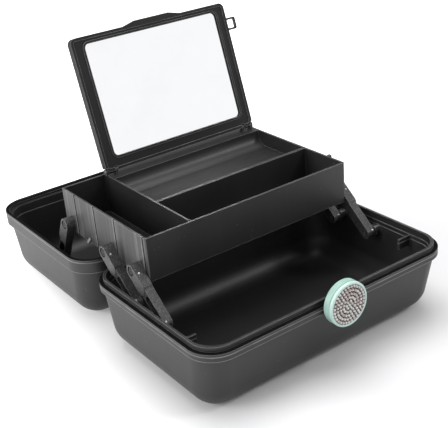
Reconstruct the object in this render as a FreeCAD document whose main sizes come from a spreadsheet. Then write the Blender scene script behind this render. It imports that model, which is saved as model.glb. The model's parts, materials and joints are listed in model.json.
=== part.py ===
import FreeCAD, Part
import math
import os

import Sketcher

# A makeup case that opens flat into two shells, with a tray that rises on
# parallel arms as the lid swings back.  Millimetres, +Z up.  The origin is the
# middle of the base shell's underside, the latch faces -Y and the lid lies
# open behind the base, towards +Y.

DOC = FreeCAD.newDocument("makeup_case")

# ---------------------------------------------------------------- sizes ----

SIZES = {
    # shells
    "case_width": 320,
    "case_depth": 216,
    "base_height": 76.5,
    "lid_extra": 5.5,
    "shell_wall": 2.5,
    "corner_radius": 31,
    "bottom_radius": 28,
    "end_lean": 0.06,
    "front_lean": 0.19,
    "rear_lean": 0.16,
    # rims
    "flange_out": 2.5,
    "base_flange_height": 8.25,
    "lid_flange_height": 16,
    "tongue_height": 5,
    "tongue_inset": 4.5,
    "rim_clearance": 0.7,
    "seam_gap": 0.3,
    # hinge between the shells
    "hinge_offset": 8,
    "hinge_station": 95,
    "knuckle_radius": 4.5,
    "base_knuckle_length": 16,
    "lid_knuckle_length": 17.2,
    "knuckle_gap": 0.4,
    "hinge_web": 5.3,
    "hinge_pin_radius": 1.5,
    "pin_play": 0.06,
    # tray
    "tray_side_gap": 27,
    "tray_front_gap": 24.94,
    "tray_depth_gap": 40,
    "tray_lift": 17,
    "tray_height": 48.5,
    "tray_wall": 2,
    "tray_lean": 0.005,
    "tray_corner": 1.8,
    "side_bin_width": 54.7,
    "rear_bin_front": 67.1,
    "middle_wall": 4,
    "rear_ledge": 22,
    "trough_depth": 18,
    "trough_radius": 15,
    "catch_station": 24.1,
    "catch_length": 4,
    "catch_height": 6,
    "catch_reach": 2.4,
    "catch_rise": 1.5,
    "side_tab_station": 127.1,
    "side_tab_drop": 1.5,
    "side_tab_rise": 7.5,
    "side_tab_reach": 1.6,
    "tab_thickness": 2,
    # arms
    "arm_length": 63,
    "arm_angle": 40,
    "arm_turn_angle": 120,
    "arm_width": 14.5,
    "arm_thickness": 11,
    "arm_gap": 0.5,
    "arm_step": 1.2,
    "arm_head": 28,
    "arm_web": 2.5,
    "arm_flange": 1.5,
    "front_pivot_inset": 17.4,
    "arm_spacing": 56.2,
    "pivot_rise": 9.8,
    "link_pivot_rise": 2,
    "pivot_radius": 2.5,
    "pivot_boss_radius": 6.5,
    "boss_gap": 0.6,
    "screw_head_radius": 3.7,
    "screw_head_height": 1.8,
    "screw_recess_radius": 5.3,
    "screw_recess_depth": 2.4,
    "screw_seat_gap": 0.15,
    "screw_slot": 1,
    "retainer_radius": 4.3,
    "retainer_height": 1.2,
    "pivot_pin_depth": 5,
    "tray_boss_height": 0.2,
    # lid links
    "link_pivot_inset": 16.2,
    "link_length": 62.2,
    "link_angle": 62,
    "stud_gap": 0.3,
    # stops under the front arms
    "stop_station": 52.7,
    "stop_gap": 0.6,
    "stop_height": 12,
    "stop_thickness": 2.4,
    "stop_inset": 2.7,
    # mirror flap
    "flap_end_gap": 2,
    "flap_width": 211,
    "flap_height": 154,
    "flap_thickness": 8.5,
    "flap_corner": 7,
    "panel_rim": 3.5,
    "panel_lip": 2.5,
    "panel_depth": 1.2,
    "flap_below": 1,
    "flap_lift": 4.5,
    "flap_angle": 17.4,
    "glass_thickness": 2,
    "glass_recess": 2.4,
    "glass_side": 16,
    "glass_far_side": 14,
    "glass_bottom": 15.2,
    "glass_top": 8.8,
    "glass_play": 0.3,
    "glass_corner": 6,
    "pad_thickness": 1,
    "pad_inset": 1.2,
    "tab_height": 3.8,
    "tab_left": 70,
    "tab_width": 78,
    "tab_slope": 16,
    "tab_thickness_y": 4,
    "loop_reach": 12.5,
    "loop_height": 15,
    "loop_drop": 34.5,
    "loop_bar": 2.4,
    "loop_depth": 3,
    "flap_pin_radius": 1.2,
    "flap_knuckle_radius": 3.2,
    "flap_knuckle_length": 9,
    "flap_station": 98,
    "flap_lug": 3,
    "flap_rear": 7.4,
    # latch
    "latch_radius": 23.6,
    "latch_length": 11,
    "latch_stand_off": 3.5,
    "latch_drop": 0.1,
    "latch_wall": 2.4,
    "latch_face_depth": 2,
    "latch_face_radius": 21.2,
    "latch_edge_radius": 1.2,
    "latch_groove_inset": 3.2,
    "latch_groove_width": 0.9,
    "latch_groove_depth": 0.6,
    "plate_play": 0.15,
    "latch_plate": 1.1,
    "latch_pin_drop": 15.4,
    "latch_pin_out": 5,
    "latch_pin_radius": 1.5,
    "latch_barrel_radius": 3.2,
    "latch_barrel_length": 9.6,
    "latch_lug": 3.4,
    "keeper_width": 14,
    "keeper_reach": 3,
    "keeper_rise": 9.2,
    "keeper_height": 6,
    "lip_width": 12,
    "lip_height": 3,
    "lip_gap": 1.2,
    "lip_clear": 0.5,
    "stone_radius": 1.6,
    "stone_top_radius": 1.2,
    "stone_height": 1.3,
    "stone_edge": 0.3,
    "stone_rings": 5,
    # folding handle under the lid's top
        "handle_width": 124,
    "handle_height": 42,
    "handle_bar": 9,
    "handle_thickness": 8,
    "handle_inset": 1.5,
    "handle_side_gap": 2,
    "handle_near_gap": 2.5,
    "handle_far_gap": 5.5,
    "handle_top_gap": 2,
    "handle_corner": 4,
    "grip_corner": 6,
    "handle_pin_radius": 2,
}


class Size:
    """A number now, and the sheet expression that keeps it bound."""

    def __init__(self, value, text):
        self.value = float(value)
        self.text = text

    def __add__(self, other):
        other = size(other)
        return Size(self.value + other.value, "(%s + %s)" % (self.text, other.text))

    def __sub__(self, other):
        other = size(other)
        return Size(self.value - other.value, "(%s - %s)" % (self.text, other.text))

    def __mul__(self, other):
        other = size(other)
        return Size(self.value * other.value, "(%s * %s)" % (self.text, other.text))

    def __truediv__(self, other):
        other = size(other)
        return Size(self.value / other.value, "(%s / %s)" % (self.text, other.text))

    def __radd__(self, other):
        return size(other) + self

    def __rsub__(self, other):
        return size(other) - self

    def __rmul__(self, other):
        return size(other) * self

    def __neg__(self):
        return size(0) - self


def size(item):
    return item if isinstance(item, Size) else Size(item, "%g" % item)


def cosine(angle):
    return Size(math.cos(math.radians(angle.value)), "cos(%s)" % angle.text)


def sine(angle):
    return Size(math.sin(math.radians(angle.value)), "sin(%s)" % angle.text)


class Sheet:
    """Every driving size as a cell with an alias, and as an attribute."""

    def __init__(self, sizes):
        self.sheet = DOC.addObject("Spreadsheet::Sheet", "Sizes")
        for row, (alias, value) in enumerate(sizes.items(), start=1):
            self.sheet.set("A%d" % row, alias)
            self.sheet.set("B%d" % row, "%g" % value)
            self.sheet.setAlias("B%d" % row, alias)
            setattr(self, alias, Size(value, "Sizes." + alias))


S = Sheet(SIZES)
DOC.recompute()

# ------------------------------------------------------ places from sizes ----

HALF_WIDTH = S.case_width / 2
HALF_DEPTH = S.case_depth / 2
LID_HEIGHT = S.base_height + S.lid_extra
TONGUE_TOP = S.base_height + S.tongue_height
SEAM = S.base_height + S.seam_gap
HINGE_Y = HALF_DEPTH + S.hinge_offset
HINGE_Z = (SEAM + LID_HEIGHT) / 2
LID_Y = HINGE_Y * 2

ARM_SHUT_ANGLE = S.arm_angle + S.arm_turn_angle
ARM_SWING = S.arm_length * (cosine(S.arm_angle) - cosine(ARM_SHUT_ANGLE))

TRAY_HALF = HALF_WIDTH - S.tray_side_gap
TRAY_FLOOR = S.base_height + S.tray_lift
TRAY_TOP = TRAY_FLOOR + S.tray_height
TRAY_FRONT = S.tray_front_gap - HALF_DEPTH + ARM_SWING
TRAY_REAR = TRAY_FRONT + S.case_depth - S.tray_depth_gap
FLAP_Y = TRAY_REAR - S.flap_rear
FLAP_Z = TRAY_TOP + S.flap_lift
FLAP_RIGHT = TRAY_HALF - S.flap_end_gap
FLAP_LEFT = FLAP_RIGHT - S.flap_width
FLAP_MIDDLE = FLAP_RIGHT - S.flap_width / 2
FLAP_FRONT = S.seam_gap - S.flap_lift
FLAP_BACK = FLAP_FRONT + S.flap_thickness
FLAP_TOP = S.flap_height - S.flap_below
PIVOT_Z = TRAY_FLOOR + S.pivot_rise
ARM_INNER = TRAY_HALF + S.arm_gap
ARM_OUTER = ARM_INNER + S.arm_thickness
BOSS_FACE = ARM_OUTER + S.boss_gap

FRONT_PIVOT = (TRAY_FRONT + S.front_pivot_inset, PIVOT_Z)
REAR_PIVOT = (FRONT_PIVOT[0] + S.arm_spacing, PIVOT_Z)
LINK_PIVOT = (TRAY_REAR - S.link_pivot_inset, PIVOT_Z + S.link_pivot_rise)
TRAY_PIVOTS = (FRONT_PIVOT, REAR_PIVOT, LINK_PIVOT)

LATCH_Z = S.base_height - S.latch_drop
LATCH_PIN_Y = -HALF_DEPTH - S.latch_pin_out
LATCH_PIN_Z = LATCH_Z - S.latch_pin_drop
LATCH_BACK = -HALF_DEPTH - S.latch_stand_off
LATCH_FRONT = LATCH_BACK - S.latch_length
KEEPER_BOTTOM = SEAM + S.keeper_rise
KEEPER_TOP = KEEPER_BOTTOM + S.keeper_height

RECESS_HALF_X = S.handle_width / 2 + S.handle_side_gap
RECESS_HALF_Y = (S.handle_height + S.handle_near_gap + S.handle_far_gap) / 2
RECESS_TOP = S.handle_inset + S.handle_thickness + S.handle_top_gap
HANDLE_Y = LID_Y - RECESS_HALF_Y + S.handle_near_gap + S.handle_bar / 2
HANDLE_Z = S.handle_inset + S.handle_thickness / 2

def along(start, length, angle):
    """The point at a length and an angle above +Y from a (y, z) point."""
    return (start[0] + length * cosine(angle), start[1] + length * sine(angle))


FRONT_BASE_PIVOT = along(FRONT_PIVOT, -S.arm_length, S.arm_angle)
REAR_BASE_PIVOT = along(REAR_PIVOT, -S.arm_length, S.arm_angle)
LID_PIVOT = along(LINK_PIVOT, S.link_length, -S.link_angle)

# How far a cutting shape runs past what it cuts.
CUT_MARGIN = 1

# -------------------------------------------------------------- helpers ----


def bind(thing, **properties):
    """Bind properties such as Length, or Placement_Base_x, to sizes."""
    for name, value in properties.items():
        path = name.replace("_", ".")
        thing.setExpression(path, size(value).text)
    return thing


def place(thing, x=0, y=0, z=0):
    return bind(thing, Placement_Base_x=x, Placement_Base_y=y, Placement_Base_z=z)


def box(name, low, high):
    """A box between two corners of sizes."""
    block = DOC.addObject("Part::Box", name)
    spans = [size(b) - a for a, b in zip(low, high)]
    bind(block, Length=spans[0], Width=spans[1], Height=spans[2])
    return place(block, *low)


def x_cylinder(name, radius, start, end, y, z):
    """A cylinder along X from start to end."""
    rod = DOC.addObject("Part::Cylinder", name)
    rod.Placement.Rotation = FreeCAD.Rotation(FreeCAD.Vector(0, 1, 0), 90)
    bind(rod, Radius=radius, Height=size(end) - start)
    return place(rod, start, y, z)


def fuse(name, parts):
    joined = DOC.addObject("Part::MultiFuse", name)
    joined.Shapes = parts
    joined.Refine = True
    return joined


def cut(name, base, tools):
    tool = tools[0] if len(tools) == 1 else fuse(name + "_tools", tools)
    left = DOC.addObject("Part::Cut", name)
    left.Base = base
    left.Tool = tool
    return left


def group(name, parts):
    """Separate solids that share one node."""
    bundle = DOC.addObject("Part::Compound", name)
    bundle.Links = parts
    return bundle


def mirrored(name, source):
    """The same piece on the other side of the case's middle plane."""
    twin = DOC.addObject("Part::Mirroring", name)
    twin.Source = source
    twin.Normal = (1, 0, 0)
    return twin


def both_sides(name, source):
    return [source, mirrored(name + "_twin", source)]


def fillet(name, base, choose, radius):
    """Round the edges that choose(edge) picks."""
    DOC.recompute()
    picked = [i for i, edge in enumerate(base.Shape.Edges, start=1) if choose(edge)]
    rounded = DOC.addObject("Part::Fillet", name)
    rounded.Base = base
    rounded.Edges = [(i, radius.value, radius.value) for i in picked]
    return rounded


def upright(edge):
    """Whether an edge climbs from one height to another."""
    ends = [vertex.Z for vertex in edge.Vertexes]
    return len(ends) == 2 and abs(ends[0] - ends[1]) > 1


def lies_at(level):
    def test(edge):
        return all(abs(v.Z - level.value) < 1e-4 for v in edge.Vertexes)
    return test


def rounded_box(name, low, high, radius):
    block = box(name + "_block", low, high)
    return fillet(name, block, upright, size(radius))


def leaning_box(name, bottom, top, z_low, z_high):
    """A box whose rectangle (x0, y0, x1, y1) changes from bottom to top."""
    wedge = DOC.addObject("Part::Wedge", name)
    wedge.Placement.Rotation = FreeCAD.Rotation(FreeCAD.Vector(1, 0, 0), 90)
    bind(wedge, Xmin=bottom[0], Xmax=bottom[2], Zmin=-bottom[3], Zmax=-bottom[1])
    bind(wedge, X2min=top[0], X2max=top[2], Z2min=-top[3], Z2max=-top[1])
    return bind(wedge, Ymin=z_low, Ymax=z_high)


def body(name):
    return DOC.addObject("PartDesign::Body", name)


def plane_sketch(owner, name, role, offset=0):
    """A sketch on one of the body's own origin planes, moved along its normal."""
    sketch = owner.newObject("Sketcher::SketchObject", name)
    planes = owner.Origin.OriginFeatures
    sketch.AttachmentSupport = [(next(p for p in planes if p.Role == role), "")]
    sketch.MapMode = "FlatFace"
    sketch.setExpression("AttachmentOffset.Base.z", size(offset).text)
    return sketch


def pin_point(sketch, item, end, x, y):
    """Hold a sketch point at (x, y) from the sketch's origin."""
    for kind, value in (("DistanceX", size(x)), ("DistanceY", size(y))):
        row = sketch.addConstraint(Sketcher.Constraint(kind, -1, 1, item, end, value.value))
        sketch.setExpression("Constraints[%d]" % row, value.text)


def add_circle(sketch, x, y, radius):
    x, y, radius = size(x), size(y), size(radius)
    centre = FreeCAD.Vector(x.value, y.value, 0)
    up = FreeCAD.Vector(0, 0, 1)
    item = sketch.addGeometry(Part.Circle(centre, up, radius.value))
    row = sketch.addConstraint(Sketcher.Constraint("Radius", item, radius.value))
    sketch.setExpression("Constraints[%d]" % row, radius.text)
    pin_point(sketch, item, 3, x, y)


def add_polygon(sketch, points):
    """A closed outline through (x, y) points of sizes."""
    points = [(size(x), size(y)) for x, y in points]
    vectors = [FreeCAD.Vector(x.value, y.value, 0) for x, y in points]
    first = None
    for i, start in enumerate(vectors):
        end = vectors[(i + 1) % len(vectors)]
        item = sketch.addGeometry(Part.LineSegment(start, end))
        first = item if first is None else first
        pin_point(sketch, item, 1, *points[i])
    for i in range(len(vectors)):
        following = first + (i + 1) % len(vectors)
        sketch.addConstraint(Sketcher.Constraint("Coincident", first + i, 2, following, 1))


def add_slot(sketch, start, end, radius):
    """A slot outline round two (x, y) centres."""
    radius = size(radius)
    centres = [FreeCAD.Vector(p[0].value, p[1].value, 0) for p in (start, end)]
    run = centres[1] - centres[0]
    heading = math.atan2(run.y, run.x)
    side = FreeCAD.Vector(-math.sin(heading), math.cos(heading), 0) * radius.value
    up = FreeCAD.Vector(0, 0, 1)
    quarter = math.pi / 2
    arcs = []
    for centre, turn in zip(centres, (heading + quarter, heading - quarter)):
        circle = Part.Circle(centre, up, radius.value)
        arcs.append(sketch.addGeometry(Part.ArcOfCircle(circle, turn, turn + math.pi)))
    low = sketch.addGeometry(Part.LineSegment(centres[0] - side, centres[1] - side))
    high = sketch.addGeometry(Part.LineSegment(centres[1] + side, centres[0] + side))
    joints = ((arcs[0], 2, low, 1), (low, 2, arcs[1], 1), (arcs[1], 2, high, 1), (high, 2, arcs[0], 1))
    for joint in joints:
        sketch.addConstraint(Sketcher.Constraint("Tangent", *joint))
    row = sketch.addConstraint(Sketcher.Constraint("Radius", arcs[0], radius.value))
    sketch.setExpression("Constraints[%d]" % row, radius.text)
    pin_point(sketch, arcs[0], 3, *start)
    pin_point(sketch, arcs[1], 3, *end)


def pad(owner, name, sketch, length):
    feature = owner.newObject("PartDesign::Pad", name)
    feature.Profile = sketch
    return bind(feature, Length=length)


def pocket(owner, name, sketch, length, reverse=False):
    """Cut from the sketch plane against its normal, or along it if reversed."""
    feature = owner.newObject("PartDesign::Pocket", name)
    feature.Profile = sketch
    feature.Reversed = reverse
    return bind(feature, Length=length)


# ---------------------------------------------------------------- shells ----


def shell_rectangle(level, height, inset=0):
    """The shell's rectangle at a level, below a rim at height."""
    drop = size(height) - level
    half = HALF_WIDTH - S.flange_out - inset - S.end_lean * drop
    front = HALF_DEPTH - S.flange_out - inset - S.front_lean * drop
    rear = HALF_DEPTH - S.flange_out - inset - S.rear_lean * drop
    return (-half, -front, half, rear)


def rim_rectangle(inset):
    return (inset - HALF_WIDTH, inset - HALF_DEPTH, HALF_WIDTH - inset, HALF_DEPTH - inset)


def shell_skin(name, height):
    """The outer form: leaning walls, round corners and a round bottom edge."""
    foot = shell_rectangle(0, height)
    walls = leaning_box(name + "_walls", foot, shell_rectangle(height, height), 0, height)
    corners = fillet(name + "_corners", walls, upright, S.corner_radius - S.flange_out)
    return fillet(name, corners, lies_at(size(0)), S.bottom_radius)


def shell_hollow(name, height, rim, rim_inset):
    """The space inside: a wall in from the skin, up to the rim's opening."""
    floor = S.shell_wall
    low = shell_rectangle(floor, height, S.shell_wall)
    high = rim_rectangle(rim_inset)
    walls = leaning_box(name + "_walls", low, high, floor, rim)
    corners = fillet(name + "_corners", walls, upright, S.corner_radius - S.flange_out - S.shell_wall)
    return fillet(name, corners, lies_at(floor), S.bottom_radius - S.shell_wall)


def rim_ring(name, inset, z_low, z_high):
    low = rim_rectangle(inset)
    return rounded_box(name, (low[0], low[1], z_low), (low[2], low[3], z_high), S.corner_radius - inset)


def pivot_bosses(name, height, pivots):
    """Bosses on both end walls that carry pivots, with blind pin holes."""
    solids, holes = [], []
    for i, (y, z) in enumerate(pivots):
        wall = HALF_WIDTH - S.flange_out - S.end_lean * (size(height) - z)
        root = wall - S.shell_wall / 2
        boss = x_cylinder("%s_boss_%d" % (name, i), S.pivot_boss_radius, BOSS_FACE, root, y, z)
        hole = x_cylinder("%s_hole_%d" % (name, i), S.pivot_radius + S.pin_play / 2,
                          BOSS_FACE - CUT_MARGIN, wall - S.shell_wall, y, z)
        solids += both_sides(boss.Name, boss)
        holes += both_sides(hole.Name, hole)
    return solids, holes


def knuckles(name, length, start, web_y):
    """Hinge knuckles of one shell at both stations, and the pin's holes."""
    solids, holes = [], []
    for i, offset in enumerate(start):
        x = S.hinge_station + offset
        barrel = x_cylinder("%s_barrel_%d" % (name, i), S.knuckle_radius, x, x + length, HINGE_Y, HINGE_Z)
        web_top = S.base_height - S.seam_gap / 2
        web = box("%s_web_%d" % (name, i), (x, web_y, web_top - S.hinge_web), (x + length, HINGE_Y, web_top))
        hole = x_cylinder("%s_bore_%d" % (name, i), S.hinge_pin_radius + S.pin_play,
                          x - CUT_MARGIN, x + length + CUT_MARGIN, HINGE_Y, HINGE_Z)
        for solid in (barrel, web):
            solids += both_sides(solid.Name, solid)
        holes += both_sides(hole.Name, hole)
    return solids, holes


KNUCKLE_ROOT = HALF_DEPTH - S.flange_out - S.shell_wall / 2


def arm_stops():
    """A bracket on each end wall that the front arm rests on when shut."""
    y, z = along(FRONT_BASE_PIVOT, S.stop_station, ARM_SHUT_ANGLE)
    top = z + S.arm_width / 2 / cosine(ARM_SHUT_ANGLE) - S.stop_gap
    wall = HALF_WIDTH - S.flange_out - S.end_lean * (S.base_height - top)
    root = wall - S.shell_wall / 2
    half = S.stop_thickness / 2
    low = (TRAY_HALF + S.stop_inset, y - half, top - S.stop_height)
    rib = box("arm_stop", low, (root, y + half, top))
    return both_sides("arm_stop", rib)


def latch_lugs():
    """Two lugs on the front wall that hold the latch's pin."""
    front = HALF_DEPTH - S.flange_out - S.front_lean * (S.base_height - LATCH_PIN_Z)
    root = -front + S.shell_wall / 2
    inner = S.latch_barrel_length / 2 + S.knuckle_gap
    low = (inner, LATCH_PIN_Y, LATCH_PIN_Z - S.latch_barrel_radius)
    high = (inner + S.latch_lug, root, LATCH_PIN_Z + S.latch_barrel_radius)
    arm = box("latch_lug_arm", low, high)
    nose = x_cylinder("latch_lug_nose", S.latch_barrel_radius, inner, inner + S.latch_lug,
                      LATCH_PIN_Y, LATCH_PIN_Z)
    reach = inner + S.latch_lug + CUT_MARGIN
    bore = x_cylinder("latch_lug_bore", S.latch_pin_radius + S.pin_play / 2, -reach, reach,
                      LATCH_PIN_Y, LATCH_PIN_Z)
    return both_sides("latch_lug_arm", arm) + both_sides("latch_lug_nose", nose), [bore]


def make_base():
    skin = shell_skin("base_skin", S.base_height)
    flange = rim_ring("base_flange", 0, S.base_height - S.base_flange_height, S.base_height)
    tongue = rim_ring("base_tongue", S.tongue_inset, S.base_height - 1, TONGUE_TOP)
    hollow = shell_hollow("base_hollow", S.base_height, TONGUE_TOP, S.tongue_inset + S.shell_wall)
    cup = cut("base_cup", fuse("base_solid", [skin, flange, tongue]), [hollow])
    bosses, boss_holes = pivot_bosses("base", S.base_height, [FRONT_BASE_PIVOT, REAR_BASE_PIVOT])
    half = S.lid_knuckle_length / 2 + S.knuckle_gap
    starts = [half, -half - S.base_knuckle_length]
    barrels, bores = knuckles("base", S.base_knuckle_length, starts, KNUCKLE_ROOT)
    lugs, lug_bores = latch_lugs()
    whole = fuse("base_whole", [cup] + bosses + barrels + arm_stops() + lugs)
    return cut("base_shell", whole, boss_holes + bores + lug_bores)


def handle_recess():
    """The walled box under the lid's top, its pocket and the pins' holes."""
    wall = S.shell_wall
    outer_x = RECESS_HALF_X + wall
    outer_y = RECESS_HALF_Y + wall
    walls = rounded_box("recess_box", (-outer_x, -outer_y, wall / 2), (outer_x, outer_y, RECESS_TOP + wall),
                        S.grip_corner)
    pocket_box = rounded_box("recess_pocket", (-RECESS_HALF_X, -RECESS_HALF_Y, -CUT_MARGIN),
                             (RECESS_HALF_X, RECESS_HALF_Y, RECESS_TOP), S.handle_corner)
    hole = x_cylinder("handle_pin_hole", S.handle_pin_radius, RECESS_HALF_X - CUT_MARGIN,
                      outer_x + CUT_MARGIN, LID_Y - HANDLE_Y, HANDLE_Z)
    return walls, [pocket_box] + both_sides("handle_pin_hole", hole)


def latch_keeper():
    """The ledge on the lid's front that the latch's lip hooks over."""
    half = S.keeper_width / 2
    top = HINGE_Z * 2 - KEEPER_BOTTOM
    bottom = HINGE_Z * 2 - KEEPER_TOP
    root = S.flange_out / 2 - HALF_DEPTH
    return box("lid_keeper", (-half, -HALF_DEPTH - S.keeper_reach, bottom), (half, root, top))


def make_lid():
    """The lid in the base's position, then turned round and moved behind it."""
    skin = shell_skin("lid_skin", LID_HEIGHT)
    flange = rim_ring("lid_flange", 0, LID_HEIGHT - S.lid_flange_height, LID_HEIGHT)
    rebate_floor = LID_HEIGHT - S.tongue_height - S.rim_clearance
    rebate = rim_ring("lid_rebate", S.tongue_inset - S.rim_clearance, rebate_floor, LID_HEIGHT + CUT_MARGIN)
    hollow = shell_hollow("lid_hollow", LID_HEIGHT, LID_HEIGHT, S.tongue_inset + S.shell_wall)
    cup = cut("lid_cup", fuse("lid_solid", [skin, flange]), [hollow, rebate])
    walls, recess_holes = handle_recess()
    pivot = (LID_Y - LID_PIVOT[0], LID_PIVOT[1])
    bosses, boss_holes = pivot_bosses("lid", LID_HEIGHT, [pivot])
    barrels, bores = knuckles("lid", S.lid_knuckle_length, [-S.lid_knuckle_length / 2], KNUCKLE_ROOT)
    whole = fuse("lid_whole", [cup, walls, latch_keeper()] + bosses + barrels)
    lid = cut("lid_shell", whole, recess_holes + boss_holes + bores)
    lid.Placement.Rotation = FreeCAD.Rotation(FreeCAD.Vector(0, 0, 1), 180)
    return place(lid, 0, LID_Y, 0)


# ------------------------------------------------------------------ tray ----


def trough_profile(sketch, grow):
    """Side view of the rear bin: a flat floor that curves up to the ledge."""
    front = TRAY_FRONT + S.rear_bin_front + S.middle_wall / 2 - grow
    rear = TRAY_REAR - S.rear_ledge + grow
    floor = TRAY_TOP - S.trough_depth - grow
    over = TRAY_TOP + S.tray_wall
    radius = S.trough_radius + grow
    steps = 6
    points = [(front, over), (front, floor)]
    for i in range(steps + 1):
        angle = size(90.0 * i / steps)
        points.append((rear - radius + radius * sine(angle), floor + radius - radius * cosine(angle)))
    points.append((rear, over))
    add_polygon(sketch, points)


def trough(name, left, right, grow):
    owner = body(name)
    sketch = plane_sketch(owner, name + "_side", "YZ_Plane", left)
    trough_profile(sketch, grow)
    pad(owner, name + "_pad", sketch, size(right) - left)
    return owner


TRAY_DRAFT = S.tray_lean * S.tray_height
TRAY_INSIDE = TRAY_HALF - TRAY_DRAFT - S.tray_wall


def tray_outside():
    """The tray's block, a little narrower at its foot."""
    top = (-TRAY_HALF, TRAY_FRONT, TRAY_HALF, TRAY_REAR)
    bottom = (TRAY_DRAFT - TRAY_HALF, TRAY_FRONT + TRAY_DRAFT, TRAY_HALF - TRAY_DRAFT, TRAY_REAR - TRAY_DRAFT)
    walls = leaning_box("tray_walls", bottom, top, TRAY_FLOOR, TRAY_TOP)
    return fillet("tray_outside", walls, upright, S.tray_corner)


def tray_hollows():
    """The bins, and the space under the shallow rear bin."""
    wall = S.tray_wall
    front = TRAY_FRONT + TRAY_DRAFT + wall
    rear = TRAY_REAR - TRAY_DRAFT - wall
    divider = S.side_bin_width - TRAY_HALF
    middle = TRAY_FRONT + S.rear_bin_front
    floor = TRAY_FLOOR + wall
    over = TRAY_TOP + CUT_MARGIN
    side_bin = rounded_box("side_bin", (-TRAY_INSIDE, front, floor), (divider, rear, over), S.tray_corner)
    front_bin = rounded_box("front_bin", (divider + wall, front, floor),
                            (TRAY_INSIDE, middle - S.middle_wall / 2, over), S.tray_corner)
    rear_bin = trough("rear_bin", divider + wall, TRAY_INSIDE, 0)
    under_low = (divider + wall, middle + wall, TRAY_FLOOR - CUT_MARGIN)
    under_box = box("under_box", under_low, (TRAY_INSIDE, rear, TRAY_TOP - wall))
    under_trough = trough("under_trough", divider, TRAY_INSIDE + wall, wall)
    return [side_bin, front_bin, rear_bin, cut("underside", under_box, [under_trough])]


def tray_pivot_bosses():
    """Low round pads on both sides, with the holes for the pivot screws."""
    pads, holes = [], []
    for i, (y, z) in enumerate(TRAY_PIVOTS):
        boss = x_cylinder("tray_boss_%d" % i, S.pivot_boss_radius, TRAY_INSIDE + S.tray_wall / 2,
                          TRAY_HALF + S.tray_boss_height, y, z)
        hole = x_cylinder("tray_hole_%d" % i, S.pivot_radius + S.pin_play, TRAY_INSIDE - CUT_MARGIN,
                          TRAY_HALF + CUT_MARGIN, y, z)
        pads += both_sides(boss.Name, boss)
        holes += both_sides(hole.Name, hole)
    return pads, holes


def tray_catch():
    """The small hook on the tray's right side that the flap's loop meets."""
    y = TRAY_FRONT + S.catch_station
    low = (TRAY_HALF - S.tray_wall / 2, y, TRAY_TOP - S.catch_height)
    high = (TRAY_HALF + S.catch_reach, y + S.catch_length, TRAY_TOP + S.catch_rise)
    return box("tray_catch", low, high)


def side_tabs():
    """Slanting ribs low on both sides that keep the rear arms off the walls."""
    y = TRAY_FRONT + S.side_tab_station
    z = TRAY_FLOOR - S.side_tab_drop
    half = S.tab_thickness / 2
    rise = S.side_tab_rise
    owner = body("side_tab")
    root = TRAY_HALF - S.tray_wall / 2
    outline = plane_sketch(owner, "side_tab_outline", "YZ_Plane", root)
    add_polygon(outline, [(y - half, z - half), (y + half, z + half),
                          (y + half - rise, z + half + rise), (y - half - rise, z - half + rise)])
    pad(owner, "side_tab_pad", outline, TRAY_HALF + S.side_tab_reach - root)
    return both_sides("side_tab", owner)


def make_tray():
    pads, holes = tray_pivot_bosses()
    lugs, bores = flap_lugs()
    whole = fuse("tray_solid", [tray_outside(), tray_catch()] + pads + lugs + side_tabs())
    return cut("tray_body", whole, tray_hollows() + holes + bores)


def flap_hinges():
    """The middle of each of the flap's two hinges, with a tag for names."""
    return [("left", FLAP_MIDDLE - S.flap_station), ("right", FLAP_MIDDLE + S.flap_station)]


def flap_lugs():
    """Pairs of lugs on the rear ledge, either side of each flap knuckle."""
    solids, bores = [], []
    radius = S.flap_knuckle_radius
    inner = S.flap_knuckle_length / 2 + S.knuckle_gap
    for tag, centre in flap_hinges():
        for side, start in (("in", centre + inner), ("out", centre - inner - S.flap_lug)):
            name = "flap_lug_%s_%s" % (tag, side)
            low = (start, FLAP_Y - radius, TRAY_TOP - S.tray_wall / 2)
            solids.append(box(name, low, (start + S.flap_lug, FLAP_Y + radius, FLAP_Z)))
            solids.append(x_cylinder(name + "_top", radius, start, start + S.flap_lug, FLAP_Y, FLAP_Z))
        reach = inner + S.flap_lug + CUT_MARGIN
        bores.append(x_cylinder("flap_bore_" + tag, S.flap_pin_radius + S.pin_play / 2,
                                centre - reach, centre + reach, FLAP_Y, FLAP_Z))
    return solids, bores


# ------------------------------------------------------------------ arms ----


def part_way(start, end, share):
    """The point a share of the way from one (y, z) point to another."""
    return tuple(a + (b - a) * share for a, b in zip(start, end))


def make_arm(name, tray_end, base_end):
    """A bar with a solid head at the tray and an open channel to its foot."""
    owner = body(name)
    radius = S.arm_width / 2
    outline = plane_sketch(owner, name + "_outline", "YZ_Plane", ARM_INNER)
    add_slot(outline, base_end, tray_end, radius - S.arm_step)
    pad(owner, name + "_bar", outline, S.arm_thickness - S.arm_step)
    middle = part_way(tray_end, base_end, (S.arm_head - radius) / S.arm_length)
    head = plane_sketch(owner, name + "_head", "YZ_Plane", ARM_INNER)
    add_slot(head, middle, tray_end, radius)
    pad(owner, name + "_head_pad", head, S.arm_thickness)
    near = part_way(tray_end, base_end, (S.arm_head + radius) / S.arm_length)
    far = part_way(base_end, tray_end, (S.arm_width - S.arm_step) / S.arm_length)
    channel = plane_sketch(owner, name + "_channel", "YZ_Plane", ARM_OUTER)
    add_slot(channel, far, near, radius - S.arm_step - S.arm_flange)
    pocket(owner, name + "_channel_cut", channel, S.arm_thickness - S.arm_web)
    hole = plane_sketch(owner, name + "_holes", "YZ_Plane", ARM_OUTER)
    for end in (tray_end, base_end):
        add_circle(hole, end[0], end[1], S.pivot_radius + S.pin_play)
    pocket(owner, name + "_holes_cut", hole, S.arm_thickness)
    recess = plane_sketch(owner, name + "_recess", "YZ_Plane", ARM_OUTER)
    add_circle(recess, tray_end[0], tray_end[1], S.screw_recess_radius)
    pocket(owner, name + "_recess_cut", recess, S.screw_recess_depth)
    return owner


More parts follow.
